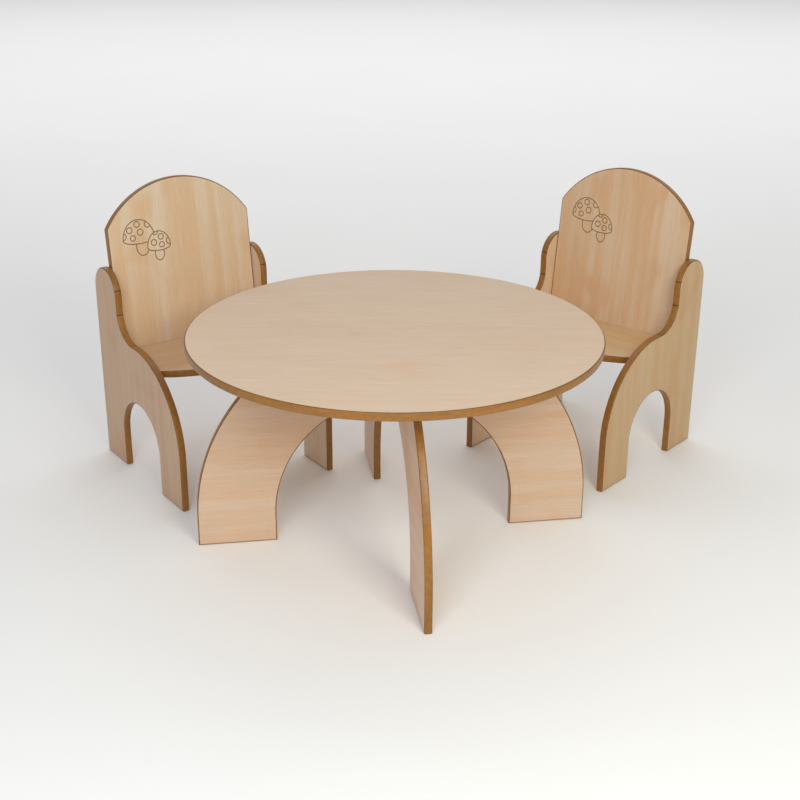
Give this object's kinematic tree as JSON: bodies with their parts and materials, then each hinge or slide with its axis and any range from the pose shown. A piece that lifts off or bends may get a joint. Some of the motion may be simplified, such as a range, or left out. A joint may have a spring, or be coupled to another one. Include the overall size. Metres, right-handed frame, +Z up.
{
  "type": "toddler table and chair set",
  "caption": "Low round play table on crossed arch panels, with matching side-panel chairs drawn up to it, cut from maple-faced board.",
  "frame": {"origin": "middle of the whole set's footprint, on the floor", "axes": "+Z up; +X to the right along the longest extent, seen from the front of the table with both chairs behind it; +Y away from the viewer"},
  "size_m": [1.352, 1.1042, 0.622],
  "materials": {
    "maple_tabletop": "satin",
    "maple_board": "satin",
    "zinc_cam": "dull",
    "steel_bolt": "satin",
    "steel_bracket": "satin",
    "zinc_screw": "satin"
  },
  "bodies": {
    "table": {"table_arch_panel_across": "maple_board", "table_arch_panel_along": "maple_board", "table_bracket_front": "steel_bracket", "table_bracket_front_panel_screw": "zinc_screw", "table_bracket_front_top_screw": "zinc_screw", "table_bracket_left": "steel_bracket", "table_bracket_left_panel_screw": "zinc_screw", "table_bracket_left_top_screw": "zinc_screw", "table_bracket_rear": "steel_bracket", "table_bracket_rear_panel_screw": "zinc_screw", "table_bracket_rear_top_screw": "zinc_screw", "table_bracket_right": "steel_bracket", "table_bracket_right_panel_screw": "zinc_screw", "table_bracket_right_top_screw": "zinc_screw", "table_top": "maple_tabletop"},
    "left_chair": {"left_chair_back": "maple_board", "left_chair_back_left_lower_bolt": "steel_bolt", "left_chair_back_left_lower_cam": "zinc_cam", "left_chair_back_left_upper_bolt": "steel_bolt", "left_chair_back_left_upper_cam": "zinc_cam", "left_chair_back_right_lower_bolt": "steel_bolt", "left_chair_back_right_lower_cam": "zinc_cam", "left_chair_back_right_upper_bolt": "steel_bolt", "left_chair_back_right_upper_cam": "zinc_cam", "left_chair_left_side_panel": "maple_board", "left_chair_right_side_panel": "maple_board", "left_chair_seat": "maple_board", "left_chair_seat_left_front_bolt": "steel_bolt", "left_chair_seat_left_front_cam": "zinc_cam", "left_chair_seat_left_rear_bolt": "steel_bolt", "left_chair_seat_left_rear_cam": "zinc_cam", "left_chair_seat_right_front_bolt": "steel_bolt", "left_chair_seat_right_front_cam": "zinc_cam", "left_chair_seat_right_rear_bolt": "steel_bolt", "left_chair_seat_right_rear_cam": "zinc_cam"},
    "right_chair": {"right_chair_back": "maple_board", "right_chair_back_left_lower_bolt": "steel_bolt", "right_chair_back_left_lower_cam": "zinc_cam", "right_chair_back_left_upper_bolt": "steel_bolt", "right_chair_back_left_upper_cam": "zinc_cam", "right_chair_back_right_lower_bolt": "steel_bolt", "right_chair_back_right_lower_cam": "zinc_cam", "right_chair_back_right_upper_bolt": "steel_bolt", "right_chair_back_right_upper_cam": "zinc_cam", "right_chair_left_side_panel": "maple_board", "right_chair_right_side_panel": "maple_board", "right_chair_seat": "maple_board", "right_chair_seat_left_front_bolt": "steel_bolt", "right_chair_seat_left_front_cam": "zinc_cam", "right_chair_seat_left_rear_bolt": "steel_bolt", "right_chair_seat_left_rear_cam": "zinc_cam", "right_chair_seat_right_front_bolt": "steel_bolt", "right_chair_seat_right_front_cam": "zinc_cam", "right_chair_seat_right_rear_bolt": "steel_bolt", "right_chair_seat_right_rear_cam": "zinc_cam"}
  },
  "joints": [
    {"name": "left_chair_slide", "type": "slide", "parent": "table", "child": "left_chair", "axis": [0.5707, -0.8211, 0], "range_m": [-0.3, 0.13]},
    {"name": "right_chair_slide", "type": "slide", "parent": "table", "child": "right_chair", "axis": [-0.6468, -0.7627, 0], "range_m": [-0.3, 0.13]}
  ]
}
